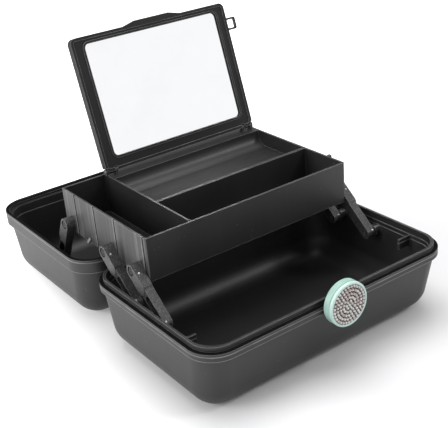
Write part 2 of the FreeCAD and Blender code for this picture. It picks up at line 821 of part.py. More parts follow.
def base_pivot_pins():
    """Pins from the base's bosses through the feet of the arms."""
    pins = []
    for i, (y, z) in enumerate((FRONT_BASE_PIVOT, REAR_BASE_PIVOT)):
        pin = x_cylinder("base_pin_%d" % i, S.pivot_radius, ARM_INNER, BOSS_FACE + S.pivot_pin_depth, y, z)
        pins += both_sides(pin.Name, pin)
    return group("base_pivot_pins", pins)


def lid_pivot_studs():
    """Studs in the lid's bosses, which end just short of the links' feet."""
    y, z = LID_PIVOT
    stud = x_cylinder("lid_stud", S.pivot_radius, ARM_OUTER - S.arm_step + S.stud_gap,
                      BOSS_FACE + S.pivot_pin_depth, y, z)
    return group("lid_pivot_studs", both_sides("lid_stud", stud))


def tray_pivot_screws():
    """Shoulder screws through the arm heads into the tray's walls."""
    screws = []
    seat = ARM_OUTER - S.screw_recess_depth + S.screw_seat_gap
    head_top = seat + S.screw_head_height
    half = S.screw_slot / 2
    for i, (y, z) in enumerate(TRAY_PIVOTS):
        shank = x_cylinder("screw_shank_%d" % i, S.pivot_radius, TRAY_INSIDE - S.retainer_height,
                           seat + S.screw_head_height / 2, y, z)
        head = x_cylinder("screw_head_%d" % i, S.screw_head_radius, seat, head_top, y, z)
        groove = box("screw_slot_%d" % i, (head_top - S.screw_slot, y - half, z - S.screw_recess_radius),
                     (head_top + CUT_MARGIN, y + half, z + S.screw_recess_radius))
        screw = cut("screw_%d" % i, fuse("screw_blank_%d" % i, [shank, head]), [groove])
        screws += both_sides(screw.Name, screw)
    return group("tray_pivot_screws", screws)


def tray_pivot_retainers():
    """Push-on washers on the screws' ends, inside the tray."""
    washers = []
    seat = TRAY_INSIDE - S.pin_play
    end = TRAY_INSIDE - S.retainer_height
    for i, (y, z) in enumerate(TRAY_PIVOTS):
        disc = x_cylinder("retainer_disc_%d" % i, S.retainer_radius, end, seat, y, z)
        bore = x_cylinder("retainer_bore_%d" % i, S.pivot_radius + S.pin_play,
                          end - CUT_MARGIN, TRAY_INSIDE + CUT_MARGIN, y, z)
        washer = cut("retainer_%d" % i, disc, [bore])
        washers += both_sides(washer.Name, washer)
    return group("tray_pivot_retainers", washers)


# ---------------------------------------------------------- mirror flap ----


def lean_back(thing):
    """Stand a piece made upright at the flap's hinge, leaning to the rear."""
    thing.Placement.Rotation = FreeCAD.Rotation(FreeCAD.Vector(1, 0, 0), 0)
    thing.setExpression("Placement.Rotation.Angle", "-" + S.flap_angle.text)
    thing.Placement.Rotation.Axis = FreeCAD.Vector(1, 0, 0)
    return place(thing, 0, FLAP_Y, FLAP_Z)


def flap_plate(name, low_x, low_z, high_x, high_z, front, back, corner):
    """A plate in the flap's upright position, with round corners."""
    block = box(name + "_block", (low_x, front, low_z), (high_x, back, high_z))
    return fillet(name, block, along_y, size(corner))


def along_y(edge):
    """Whether an edge runs from a plate's front to its back."""
    ends = [vertex.Y for vertex in edge.Vertexes]
    return len(ends) == 2 and abs(ends[0] - ends[1]) > 0.4


def glass_area(inset):
    """The glass's left, bottom, right and top, moved in by an inset."""
    left = FLAP_LEFT + S.glass_side + inset
    bottom = S.glass_bottom - S.flap_below + inset
    right = FLAP_RIGHT - S.glass_far_side - inset
    return left, bottom, right, FLAP_TOP - S.glass_top - inset


def finger_tab():
    """The low rise in the middle of the flap's top edge."""
    owner = body("flap_tab")
    outline = plane_sketch(owner, "flap_tab_outline", "XZ_Plane", -FLAP_FRONT - S.tab_thickness_y)
    start = FLAP_LEFT + S.tab_left
    end = start + S.tab_width
    root = FLAP_TOP - S.glass_top / 4
    top = FLAP_TOP + S.tab_height
    add_polygon(outline, [(start, root), (start, FLAP_TOP), (start + S.tab_slope, top),
                          (end - S.tab_slope, top), (end, FLAP_TOP), (end, root)])
    pad(owner, "flap_tab_pad", outline, S.tab_thickness_y)
    return owner


def catch_loop():
    """The open square loop on the flap's right edge."""
    low = FLAP_TOP - S.loop_drop
    high = low + S.loop_height
    end = FLAP_RIGHT + S.loop_reach
    back = FLAP_FRONT + S.loop_depth
    bar = S.loop_bar
    loop = flap_plate("loop_plate", FLAP_RIGHT - bar, low, end, high, FLAP_FRONT, back, bar)
    gap = flap_plate("loop_gap", FLAP_RIGHT, low + bar, end - bar, high - bar,
                     FLAP_FRONT - CUT_MARGIN, back + CUT_MARGIN, bar / 2)
    return cut("loop_ring", loop, [gap])


def flap_knuckles():
    """The flap's barrels, their bores, and notches that clear the lugs."""
    barrels, cuts = [], []
    radius = S.flap_knuckle_radius
    half = S.flap_knuckle_length / 2
    notch = S.flap_lug + S.knuckle_gap * 2
    for tag, centre in flap_hinges():
        barrels.append(x_cylinder("flap_knuckle_" + tag, radius, centre - half, centre + half, 0, 0))
        cuts.append(x_cylinder("flap_knuckle_bore_" + tag, S.flap_pin_radius + S.pin_play,
                               centre - half - notch, centre + half + notch, 0, 0))
        for side, start in (("in", centre + half), ("out", centre - half - notch)):
            low = (start, FLAP_FRONT - CUT_MARGIN, -radius)
            cuts.append(box("flap_notch_%s_%s" % (tag, side), low,
                            (start + notch, FLAP_BACK + CUT_MARGIN, radius + S.knuckle_gap)))
    return barrels, cuts


def flap_panel():
    """The sunk panel between the flap's outer rim and the lip round the glass."""
    left, bottom, right, top = glass_area(-S.panel_lip)
    rim = S.panel_rim
    front, back = FLAP_FRONT - CUT_MARGIN, FLAP_FRONT + S.panel_depth
    outer = flap_plate("panel_outer", FLAP_LEFT + rim, rim - S.flap_below, FLAP_RIGHT - rim, FLAP_TOP - rim,
                       front, back, S.flap_corner - rim)
    inner = flap_plate("panel_inner", left, bottom, right, top, front - CUT_MARGIN, back + CUT_MARGIN,
                       S.glass_corner + S.panel_lip)
    return cut("flap_panel", outer, [inner])


def make_flap():
    """The mirror's frame, with its finger tab, catch loop and knuckles."""
    plate = flap_plate("flap_plate", FLAP_LEFT, -S.flap_below, FLAP_RIGHT, FLAP_TOP,
                       FLAP_FRONT, FLAP_BACK, S.flap_corner)
    left, bottom, right, top = glass_area(0)
    seat = FLAP_FRONT + S.glass_recess + S.glass_thickness + S.pad_thickness
    pit = flap_plate("glass_pit", left, bottom, right, top, FLAP_FRONT - CUT_MARGIN, seat, S.glass_corner)
    barrels, cuts = flap_knuckles()
    solid = fuse("flap_solid", [plate, finger_tab(), catch_loop()] + barrels)
    return lean_back(cut("mirror_frame", solid, [pit, flap_panel()] + cuts))


def make_glass():
    left, bottom, right, top = glass_area(S.glass_play)
    front = FLAP_FRONT + S.glass_recess
    back = front + S.glass_thickness
    return lean_back(flap_plate("mirror_glass", left, bottom, right, top, front, back, S.glass_corner))


def make_glass_pad():
    left, bottom, right, top = glass_area(S.pad_inset)
    front = FLAP_FRONT + S.glass_recess + S.glass_thickness
    back = front + S.pad_thickness
    return lean_back(flap_plate("mirror_backing", left, bottom, right, top, front, back, S.glass_corner))


def mirror_hinge_pins():
    reach = S.flap_knuckle_length / 2 + S.flap_lug
    pins = [x_cylinder("flap_pin_" + tag, S.flap_pin_radius, centre - reach, centre + reach, FLAP_Y, FLAP_Z)
            for tag, centre in flap_hinges()]
    return group("mirror_hinge_pins", pins)


# ----------------------------------------------------------------- latch ----

PLATE_BACK = LATCH_FRONT + S.latch_face_depth


def y_disc(name, radius, front, back):
    """A disc on the latch's axis, from its front face to its back."""
    disc = DOC.addObject("Part::Cylinder", name)
    disc.Placement.Rotation = FreeCAD.Rotation(FreeCAD.Vector(1, 0, 0), 90)
    bind(disc, Radius=radius, Height=size(back) - front)
    return place(disc, 0, back, LATCH_Z)


def at_latch_front(edge):
    """Whether an edge lies round the latch's front face."""
    return all(abs(v.Y - LATCH_FRONT.value) < 1e-4 for v in edge.Vertexes) and edge.Length > 1


def latch_groove():
    """A thin groove round the cup, behind its front rim."""
    front = LATCH_FRONT + S.latch_groove_inset
    back = front + S.latch_groove_width
    band = y_disc("latch_band", S.latch_radius + CUT_MARGIN, front, back)
    core = y_disc("latch_core", S.latch_radius - S.latch_groove_depth, front - CUT_MARGIN, back + CUT_MARGIN)
    return cut("latch_groove", band, [core])


def latch_shell():
    """The round cup, open at its back, with a notch round the hinge's lugs."""
    disc = y_disc("latch_disc", S.latch_radius, LATCH_FRONT, LATCH_BACK)
    rounded = fillet("latch_rounded", disc, at_latch_front, S.latch_edge_radius)
    inside = PLATE_BACK + S.latch_wall
    hollow = y_disc("latch_hollow", S.latch_radius - S.latch_wall, inside, LATCH_BACK + CUT_MARGIN)
    pit = y_disc("latch_face_pit", S.latch_face_radius, LATCH_FRONT - CUT_MARGIN, PLATE_BACK)
    notch_x = S.latch_barrel_length / 2 + S.knuckle_gap * 2 + S.latch_lug
    notch = box("latch_notch", (-notch_x, inside, LATCH_Z - S.latch_radius - CUT_MARGIN),
                (notch_x, LATCH_BACK + CUT_MARGIN, LATCH_PIN_Z))
    return cut("latch_shell", rounded, [hollow, pit, notch, latch_groove()])


def make_latch():
    """A round cup with a barrel at its foot and a lip inside its top."""
    half = S.latch_barrel_length / 2
    radius = S.latch_barrel_radius
    root = PLATE_BACK + S.latch_wall / 2
    barrel = x_cylinder("latch_barrel", radius, -half, half, LATCH_PIN_Y, LATCH_PIN_Z)
    web = box("latch_web", (-half, root, LATCH_PIN_Z - radius), (half, LATCH_PIN_Y, LATCH_PIN_Z + radius))
    bore = x_cylinder("latch_bore", S.latch_pin_radius + S.pin_play, -half - CUT_MARGIN, half + CUT_MARGIN,
                      LATCH_PIN_Y, LATCH_PIN_Z)
    lip_z = KEEPER_TOP + S.lip_gap
    lip_back = -HALF_DEPTH - S.keeper_reach - S.lip_clear
    lip = box("latch_lip", (-S.lip_width / 2, root, lip_z), (S.lip_width / 2, lip_back, lip_z + S.lip_height))
    return cut("latch_cup", fuse("latch_solid", [latch_shell(), barrel, web, lip]), [bore])


def make_latch_plate():
    radius = S.latch_face_radius - S.plate_play
    return y_disc("latch_face_plate", radius, PLATE_BACK - S.latch_plate, PLATE_BACK)


def make_latch_stones():
    """Faceted studs in rings over the latch's plate, one at its middle."""
    base_y = PLATE_BACK - S.latch_plate
    pitch = (S.latch_face_radius - S.stone_radius - S.stone_edge) / S.stone_rings
    stones = []
    for ring in range(int(S.stone_rings.value) + 1):
        count = max(1, round(2 * math.pi * ring))
        for i in range(count):
            angle = size(360.0 * i / count)
            stone = DOC.addObject("Part::Cone", "stone_%d" % len(stones))
            stone.Placement.Rotation = FreeCAD.Rotation(FreeCAD.Vector(1, 0, 0), 90)
            bind(stone, Radius1=S.stone_radius, Radius2=S.stone_top_radius, Height=S.stone_height)
            place(stone, pitch * ring * cosine(angle), base_y, LATCH_Z + pitch * ring * sine(angle))
            stones.append(stone)
    return group("latch_stones", stones)


# ---------------------------------------------------------------- handle ----


def make_handle():
    """A bail that folds flat into the recess in the lid's top."""
    half = S.handle_width / 2
    bar = S.handle_bar
    low = HANDLE_Y - bar / 2
    high = low + S.handle_height
    top = S.handle_inset + S.handle_thickness
    outside = rounded_box("handle_outside", (-half, low, S.handle_inset), (half, high, top), S.handle_corner)
    inside = rounded_box("handle_inside", (bar - half, low - bar, S.handle_inset - CUT_MARGIN),
                         (half - bar, high - bar, top + CUT_MARGIN), S.grip_corner)
    blank = cut("handle_blank", outside, [inside])
    bore = x_cylinder("handle_bore", S.handle_pin_radius + S.pin_play, -half - CUT_MARGIN, half + CUT_MARGIN,
                      HANDLE_Y, HANDLE_Z)
    return cut("handle_bail", blank, [bore])


def make_handle_pins():
    inner = S.handle_width / 2 - S.handle_bar
    outer = RECESS_HALF_X + S.shell_wall
    pin = x_cylinder("handle_pin", S.handle_pin_radius, inner, outer, HANDLE_Y, HANDLE_Z)
    return group("handle_pins", both_sides("handle_pin", pin))


def hinge_pins():
    reach = S.lid_knuckle_length / 2 + S.knuckle_gap + S.base_knuckle_length
    pin = x_cylinder("hinge_rod", S.hinge_pin_radius, S.hinge_station - reach, S.hinge_station + reach,
                     HINGE_Y, HINGE_Z)
    return group("hinge_pins", both_sides("hinge_rod", pin))


def latch_pin():
    reach = S.latch_barrel_length / 2 + S.knuckle_gap + S.latch_lug
    return x_cylinder("latch_pin", S.latch_pin_radius, -reach, reach, LATCH_PIN_Y, LATCH_PIN_Z)


# -------------------------------------------------------------- assembly ----


def build():
    arms = [
        make_arm("arm_front_right", FRONT_PIVOT, FRONT_BASE_PIVOT),
        make_arm("arm_rear_right", REAR_PIVOT, REAR_BASE_PIVOT),
        make_arm("lid_link_right", LINK_PIVOT, LID_PIVOT),
    ]
    twins = [mirrored(arm.Name.replace("right", "left"), arm) for arm in arms]
    nodes = [
        make_base(), make_lid(), make_tray(),
        hinge_pins(), base_pivot_pins(), lid_pivot_studs(),
        tray_pivot_screws(), tray_pivot_retainers(),
        make_flap(), make_glass(), make_glass_pad(), mirror_hinge_pins(),
        make_latch(), make_latch_plate(), make_latch_stones(), latch_pin(),
        make_handle(), make_handle_pins(),
    ]
    return nodes + arms + twins


def check(nodes):
    """Stop on any object that failed and on any piece that isn't sound."""
    for thing in DOC.Objects:
        if "Invalid" in thing.State or "Error" in thing.State:
            raise RuntimeError("%s: %s" % (thing.Name, thing.State))
    for node in nodes:
        if node.Shape.isNull() or not node.Shape.isValid() or not node.Shape.Solids:
            raise RuntimeError("%s has no sound solid" % node.Name)


def export(nodes):
    os.makedirs("parts", exist_ok=True)
    for node in nodes:
        node.Label = node.Name
        node.Shape.exportStep("parts/%s.step" % node.Label)
        print(node.Label, len(node.Shape.Solids), "solids", round(node.Shape.Volume, 1), "mm3")


NODES = build()
DOC.recompute()
check(NODES)
export(NODES)
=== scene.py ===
import json
import math

import bmesh
import bpy
from mathutils import Matrix, Vector


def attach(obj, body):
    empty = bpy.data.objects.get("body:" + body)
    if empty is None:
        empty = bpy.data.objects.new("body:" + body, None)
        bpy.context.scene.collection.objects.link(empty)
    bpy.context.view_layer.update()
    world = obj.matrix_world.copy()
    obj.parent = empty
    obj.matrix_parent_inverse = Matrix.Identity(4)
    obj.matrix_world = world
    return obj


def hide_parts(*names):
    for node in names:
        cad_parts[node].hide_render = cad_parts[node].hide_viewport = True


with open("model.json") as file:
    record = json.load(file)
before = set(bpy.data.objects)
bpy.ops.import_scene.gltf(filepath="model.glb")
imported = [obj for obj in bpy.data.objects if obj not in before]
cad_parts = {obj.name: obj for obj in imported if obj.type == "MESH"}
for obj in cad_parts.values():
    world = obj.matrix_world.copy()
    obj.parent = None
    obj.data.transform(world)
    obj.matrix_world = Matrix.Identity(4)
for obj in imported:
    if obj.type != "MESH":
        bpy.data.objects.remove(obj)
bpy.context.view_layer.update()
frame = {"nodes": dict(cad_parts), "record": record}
MM = 0.001


# ----------------------------------------------------------- shader maths ----


class Socket:
    """A shader output that adds Math nodes when it is used in an expression."""

    def __init__(self, finish, socket):
        self.finish = finish
        self.socket = socket

    def maths(self, operation, first, second, clamp=False):
        settings = {"operation": operation, "use_clamp": clamp}
        return self.finish.node("Math", settings, {0: first, 1: second})

    def __add__(self, other):
        return self.maths("ADD", self, other)

    def __sub__(self, other):
        return self.maths("SUBTRACT", self, other)

    def __mul__(self, other):
        return self.maths("MULTIPLY", self, other)

    def __radd__(self, other):
        return self.maths("ADD", other, self)

    def __rsub__(self, other):
        return self.maths("SUBTRACT", other, self)

    def __rmul__(self, other):
        return self.maths("MULTIPLY", other, self)

    def __abs__(self):
        return self.maths("ABSOLUTE", self, 0.0)

    def above(self, level):
        return self.maths("GREATER_THAN", self, level)

    def below(self, level):
        return self.maths("LESS_THAN", self, level)

    def most(self, other):
        return self.maths("MAXIMUM", self, other)

    def clamped(self):
        return self.maths("ADD", self, 0.0, clamp=True)

    def ease(self, low, high):
        """0 below low, 1 above high and smooth between them."""
        settings = {"interpolation_type": "SMOOTHSTEP"}
        return self.finish.node("MapRange", settings, {0: self, 1: low, 2: high, 3: 0.0, 4: 1.0})


class Finish:
    """One material: its Principled shader and the nodes that feed it."""

    def __init__(self, name, **sockets):
        self.material = bpy.data.materials.new(name)
        self.material.use_nodes = True
        self.tree = self.material.node_tree
        self.shader = self.tree.nodes["Principled BSDF"]
        self.output = self.tree.nodes["Material Output"]
        self.place = self.node("TexCoord", output="Object")
        self.set(**sockets)

    def feed(self, node, key, value):
        """Give a socket a value, or link it to another node's output."""
        socket = node.inputs[key]
        if isinstance(value, Socket):
            self.tree.links.new(value.socket, socket)
        else:
            socket.default_value = value

    def node(self, kind, settings=None, inputs=None, output=0):
        """Add a node of a type with its settings, then its inputs."""
        made = self.tree.nodes.new("ShaderNode" + kind)
        for name, value in (settings or {}).items():
            setattr(made, name, value)
        for key, value in (inputs or {}).items():
            self.feed(made, key, value)
        return Socket(self, made.outputs[output])

    def axis(self, name):
        """One coordinate of the object's own frame, in metres."""
        return self.node("SeparateXYZ", None, {0: self.place}, output="XYZ".index(name))

    def noise(self, scale, detail=2.0, roughness=0.5, stretch=(1, 1, 1)):
        """Smooth noise with cells about 1 / scale metres across."""
        where = self.node("Mapping", None, {"Vector": self.place, "Scale": stretch})
        inputs = {"Vector": where, "Scale": scale, "Detail": detail, "Roughness": roughness}
        return self.node("TexNoise", None, inputs)

    def cells(self, scale):
        """The distance from the middle of the nearest of many small cells."""
        return self.node("TexVoronoi", None, {"Vector": self.place, "Scale": scale})

    def mix(self, share, first, second):
        """A colour between two colours."""
        inputs = {"Factor": share, 6: first, 7: second}
        return self.node("Mix", {"data_type": "RGBA"}, inputs, output=2)

    def bump(self, height, distance):
        return self.node("Bump", None, {"Height": height, "Distance": distance})

    def shade(self, share):
        """Lay a matt black over the finish as painted shade, as in a groove that no light
        reaches.
        """
        inputs = {"Base Color": SHADE_BLACK, "Roughness": 0.9, "Specular IOR Level": 0.0}
        matt = self.node("BsdfPrincipled", None, inputs)
        plain = Socket(self, self.shader.outputs[0])
        both = self.node("MixShader", None, {0: share, 1: plain, 2: matt})
        self.tree.links.new(both.socket, self.output.inputs["Surface"])

    def set(self, **sockets):
        for socket, value in sockets.items():
            self.feed(self.shader, socket.replace("_", " "), value)
        return self


def rgb(red, green, blue):
    return (red, green, blue, 1.0)


# --------------------------------------------------------------- finishes ----

# The first colour below is painted shade; the next three are painted highlights on ridges, edges
# and glints; the last is dust.
SHADE_BLACK = rgb(0.002, 0.002, 0.002)
HIGHLIGHT_GREY = rgb(0.19, 0.19, 0.187)
EDGE_HIGHLIGHT_GREY = rgb(0.24, 0.242, 0.24)
GLINT_GREY = rgb(0.30, 0.30, 0.29)
DUST_GREY = rgb(0.46, 0.45, 0.43)

EDGE_TURN = (0.015, 0.16)
PLAIN_PITTING = 0.3
MARK_HEIGHT = 2.0

# Where the marks on the shells, the tray and the latch cup lie, in millimetres.
SEAM_Y = 112
BASE_LINES = (73.5, 68.25)
LID_LINES = (79.0, 66.0)
LINE_HALF_WIDTH = 0.8
BASE_LEDGE = (75.5, 77.5)
LID_LEDGE = 79.5
TRAY_LINES = (30, 86, 129, 172)
TRAY_LINE_HALF_WIDTH = 1.3
TRAY_RIDGE_OFFSET = 2.2
TRAY_WALL_X = -131.5
TAB_X = -133.5
MINT_RING_Y = -119.5


def line_mask(coordinate, at, half_width):
    """1 on a line at a place in millimetres, fading over its width."""
    return 1.0 - abs(coordinate - at * MM).ease(half_width * MM * 0.3, half_width * MM)


def edge_mask(finish, radius):
    """1 on sharp outer and inner edges, 0 on flat and broad faces."""
    turned = finish.node("Bevel", {"samples": 6}, {"Radius": radius * MM}, output="Normal")
    plain = finish.node("NewGeometry", output="Normal")
    settings = {"operation": "DOT_PRODUCT"}
    facing = finish.node("VectorMath", settings, {0: turned, 1: plain}, output="Value")
    return (1.0 - facing).ease(*EDGE_TURN)


def facing_up(finish):
    """1 on level faces that look upwards."""
    across = finish.node("NewGeometry", output="Normal")
    return finish.node("SeparateXYZ", None, {0: across}, output=2).ease(0.9, 0.97)


def shell_marks(finish):
    """Thin raised lines round the flanges painted light as highlights, and painted shade on the
    upward ledges of the rims.
    """
    across, up = finish.axis("Y"), finish.axis("Z")
    in_base, in_lid = across.below(SEAM_Y * MM), across.above(SEAM_Y * MM)
    highlit_ridges = 0.0
    # Painted highlights: light lines round the flanges, where the rounded edges catch the light.
    for lines, side in ((BASE_LINES, in_base), (LID_LINES, in_lid)):
        for at in lines:
            highlit_ridges = highlit_ridges + line_mask(up, at, LINE_HALF_WIDTH) * side
    # The painted highlights' strength varies at random.
    uneven = finish.noise(70.0, 3.0).ease(0.3, 0.65)
    # Painted shade: matt black on the upward-facing ledges of the rims.
    base_ledge = up.above(BASE_LEDGE[0] * MM) * up.below(BASE_LEDGE[1] * MM) * in_base
    lid_ledge = up.above(LID_LEDGE * MM) * in_lid
    shaded_ledges = (base_ledge + lid_ledge) * facing_up(finish) * 0.85
    return highlit_ridges * (0.5 + uneven * 0.5), shaded_ledges


def tray_marks(finish):
    """Upright grooves with painted shade, painted highlights on the ridges beside them, brushed
    streaks on the left wall, and a tab painted pale as a highlight.
    """
    along, across = finish.axis("Y"), finish.axis("X")
    wall = across.below(TRAY_WALL_X * MM)
    highlit_ridges, painted_shade = 0.0, 0.0
    # Each upright line: painted shade in the groove and a painted highlight on the ridge next to
    # it.
    for at in TRAY_LINES:
        painted_shade = painted_shade + line_mask(along, at, TRAY_LINE_HALF_WIDTH)
        highlit_ridges = highlit_ridges + line_mask(along, at + TRAY_RIDGE_OFFSET, TRAY_LINE_HALF_WIDTH)
    patchy = finish.noise(60.0, 3.0, 0.6, (1, 1, 0.6)).ease(0.35, 0.7)
    brushed = finish.noise(170.0, 3.0, 0.7, (1, 1, 0.03)).ease(0.45, 0.7)
    # Painted highlight: the side tab's outer face, where its edge catches the light.
    tab_highlight = across.below(TAB_X * MM) * 3.0
    return (highlit_ridges * patchy * 0.7 + brushed * 0.4) * wall + tab_highlight, painted_shade * wall


def moulded_plastic(name, tone, gloss, grain_depth, specks=0.0, shine=0.5,
                    pitted=PLAIN_PITTING, marks=None):
    """Charcoal moulding: spark-eroded grain, edges painted lighter as highlights, cloudy tone
    and dust.
    """
    finish = Finish(name, Specular_IOR_Level=shine)
    cloud = finish.noise(14.0, 3.0)
    grain = finish.noise(1500.0, 2.0, 0.6)
    pits = finish.noise(420.0, 2.0)
    scuff = finish.noise(60.0, 4.0, 0.7, (1, 1, 4)).ease(0.62, 0.8)
    streaks = finish.noise(260.0, 3.0, 0.7, (1, 1, 0.04)).ease(0.4, 0.75)
    dust = (1.0 - finish.cells(150.0).ease(0.03, 0.06)) * finish.noise(34.0).ease(0.5, 0.62)
    # Painted highlight: sharp edges lightened, as rounded glossy rims catch the light.
    edge_highlight = edge_mask(finish, 0.9) * (0.6 + finish.noise(40.0).ease(0.3, 0.7) * 0.4)
    # Painted glints: tiny pale spots on the pitted arms' grain.
    painted_glint = 1.0 - finish.cells(700.0).ease(0.2, 0.32)
    dark = rgb(tone * 0.84, tone * 0.86, tone * 0.88)
    pale = rgb(tone * 1.2, tone * 1.19, tone * 1.17)
    light = rgb(tone * 2.6, tone * 2.6, tone * 2.5)
    colour = finish.mix(cloud.ease(0.3, 0.7), dark, pale)
    rubbed = grain.ease(0.4, 0.75) * pitted + scuff * 0.15 + streaks * 0.12
    colour = finish.mix(rubbed, colour, light)
    height = grain * 0.8 + pits * 0.4
    if marks:
        # Painted highlights on the ridge lines and tab (with the tray wall's brushed streaks),
        # and matt black painted shade in grooves and on ledges.
        highlit_ridges, painted_shade = marks(finish)
        edge_highlight = edge_highlight * (1.0 - painted_shade)
        colour = finish.mix(highlit_ridges, colour, HIGHLIGHT_GREY)
        height = height + highlit_ridges.clamped() * MARK_HEIGHT
        finish.shade(painted_shade)
    colour = finish.mix(edge_highlight, colour, EDGE_HIGHLIGHT_GREY)
    colour = finish.mix(painted_glint * (pitted - PLAIN_PITTING) * 0.7, colour, GLINT_GREY)
    colour = finish.mix(dust * specks, colour, DUST_GREY)
    rough = gloss + cloud * 0.05 + grain * 0.08 - scuff * 0.04 + streaks * 0.03
    bump = finish.bump(height, grain_depth * MM)
    return finish.set(Base_Color=colour, Roughness=rough, Normal=bump)


def bright_wire(name):
    """Drawn steel wire for the pins, with fine lines along it."""
    finish = Finish(name, Metallic=1.0)
    lines = finish.noise(900.0, 3.0, 0.6, (0.08, 1, 1))
    colour = finish.mix(lines, rgb(0.30, 0.30, 0.31), rgb(0.52, 0.52, 0.53))
    rough = 0.3 + lines * 0.15
    return finish.set(Base_Color=colour, Roughness=rough, Normal=finish.bump(lines, 0.02 * MM))


def mirror_silver(name):
    """Silvered glass with the faintest haze."""
    finish = Finish(name, Metallic=1.0)
    haze = finish.noise(22.0, 4.0, 0.6)
    clean, hazy = rgb(0.945, 0.95, 0.965), rgb(0.92, 0.925, 0.94)
    colour = finish.mix(haze.ease(0.4, 0.8), clean, hazy)
    return finish.set(Base_Color=colour, Roughness=0.015 + haze.ease(0.5, 0.8) * 0.02)


def mint_plastic(name):
    """The latch cup's mint moulding, its edges painted paler as highlights, and its front ring
    paler.
    """
    finish = Finish(name)
    cloud = finish.noise(90.0, 3.0)
    grain = finish.noise(1800.0, 2.0)
    deep, soft = rgb(0.27, 0.42, 0.37), rgb(0.33, 0.49, 0.44)
    colour = finish.mix(cloud.ease(0.35, 0.7), deep, soft)
    # Painted highlight: edges turned paler mint.
    colour = finish.mix(edge_mask(finish, 0.6) * 0.5, colour, rgb(0.68, 0.84, 0.79))
    ring = finish.axis("Y").below(MINT_RING_Y * MM)
    colour = finish.mix(ring * 0.6, colour, rgb(0.56, 0.72, 0.67))
    rough = 0.36 + cloud * 0.08
    return finish.set(Base_Color=colour, Roughness=rough, Normal=finish.bump(grain, 0.04 * MM))


def stone_crystal(name):
    """Small faceted stones, pale grey with some rose."""
    finish = Finish(name, Coat_Weight=0.6, Metallic=0.15)
    which = finish.noise(190.0, 1.0)
    grey, rose = rgb(0.66, 0.65, 0.63), rgb(0.50, 0.40, 0.37)
    colour = finish.mix(which.ease(0.52, 0.62), grey, rose)
    dull = finish.noise(700.0, 1.0).ease(0.45, 0.6) * 0.5
    colour = finish.mix(dull, colour, rgb(0.30, 0.27, 0.26))
    return finish.set(Base_Color=colour, Roughness=0.16 + which * 0.08)


def foam(name):
    """The mirror's thin black backing, with open pores."""
    finish = Finish(name, Roughness=0.9)
    pores = finish.cells(900.0)
    colour = finish.mix(pores, rgb(0.05, 0.05, 0.05), rgb(0.10, 0.10, 0.10))
    return finish.set(Base_Color=colour, Normal=finish.bump(pores, 0.1 * MM))


# Each moulding's tone, gloss, grain depth in millimetres, and what sets it apart.
MOULDINGS = {
    "case_plastic": (0.013, 0.38, 0.10, {"specks": 0.8, "marks": shell_marks}),
    "tray_plastic": (0.012, 0.36, 0.08, {"specks": 0.8, "marks": tray_marks}),
    "frame_plastic": (0.010, 0.44, 0.08, {"shine": 0.18}),
    "arm_plastic": (0.018, 0.34, 0.35, {"specks": 1.0, "pitted": 0.9}),
    # Pale pips: painted highlights on the arms' rounded ends near the pivots.
    "pip_painted_highlight": (0.45, 0.25, 0.03, {}),
    "screw_black": (0.005, 0.30, 0.05, {"shine": 0.2}),
    "latch_plate_dark": (0.008, 0.30, 0.04, {}),
}
OTHER_FINISHES = {
    "pin_steel": bright_wire,
    "mirror_silver": mirror_silver,
    "latch_mint": mint_plastic,
    "stones": stone_crystal,
    "backing_foam": foam,
}


def make_finishes():
    made = {}
    for name, (tone, gloss, depth, own) in MOULDINGS.items():
        made[name] = moulded_plastic(name, tone, gloss, depth, **own)
    for name, make in OTHER_FINISHES.items():
        made[name] = make(name)
    return made


# ----------------------------------------------------------------- pieces ----

# How far each moulded piece's edges are rounded, in millimetres.
EDGES = {
    "base_shell": 0.5, "lid_shell": 0.5, "tray_body": 0.4, "mirror_frame": 0.6,
    "arm_front_left": 0.35, "arm_front_right": 0.35,
    "arm_rear_left": 0.35, "arm_rear_right": 0.35,
    "lid_link_left": 0.35, "lid_link_right": 0.35,
    "latch_cup": 0.4, "handle_bail": 0.8, "tray_pivot_screws": 0.25,
}
EDGE_SEGMENTS = 3
SHARP_ANGLE = math.radians(28)
FLAT_ANGLE = math.radians(0.6)
WELD_DISTANCE = 1e-6
OWN_FINISH = {"mirror_frame": "frame_plastic"}

# The pips on the arms, and the (y, z) pivots they are measured from, in millimetres.
PIP_STATIONS = (7.4, 64.0)
PIP_RADIUS = 1.1
PIP_X = 140.5
ARM_ANGLE = 40.0
ARM_HALF_WIDTH = 7.25
ARM_STEP = 1.2
ARM_STEP_STATION = 28
TRAY_PIVOTS = {"front": (41.801, 103.3), "rear": (98.001, 103.3)}


def node_slots():
    return {part["node"]: part["material_slot"] for part in frame["record"]["subparts"]}


def body_of(node):
    bodies = frame["record"]["behaviour"]["bodies"]
    return next(body for body, nodes in bodies.items() if node in nodes)


def add_object(name, data):
    item = bpy.data.objects.new(name, data)
    bpy.context.scene.collection.objects.link(item)
    return item


def soften(node, material, edge):
    """Replace a node by a copy with its facets joined and its edges rounded."""
    mesh = frame["nodes"][node].data.copy()
    work = bmesh.new()
    work.from_mesh(mesh)
    bmesh.ops.remove_doubles(work, verts=work.verts, dist=WELD_DISTANCE)
    bmesh.ops.dissolve_limit(work, angle_limit=FLAT_ANGLE, verts=work.verts, edges=work.edges)
    work.to_mesh(mesh)
    work.free()
    piece = add_object(node + "_finished", mesh)
    mesh.materials.clear()
    mesh.materials.append(material)
    round_off = piece.modifiers.new("edges", "BEVEL")
    round_off.width = edge
    round_off.segments = EDGE_SEGMENTS
    round_off.limit_method = "ANGLE"
    round_off.angle_limit = SHARP_ANGLE
    round_off.use_clamp_overlap = True
    round_off.harden_normals = True
    mesh.shade_smooth()
    mesh.set_sharp_from_angle(angle=SHARP_ANGLE)
    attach(piece, body_of(node))
    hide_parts(node)


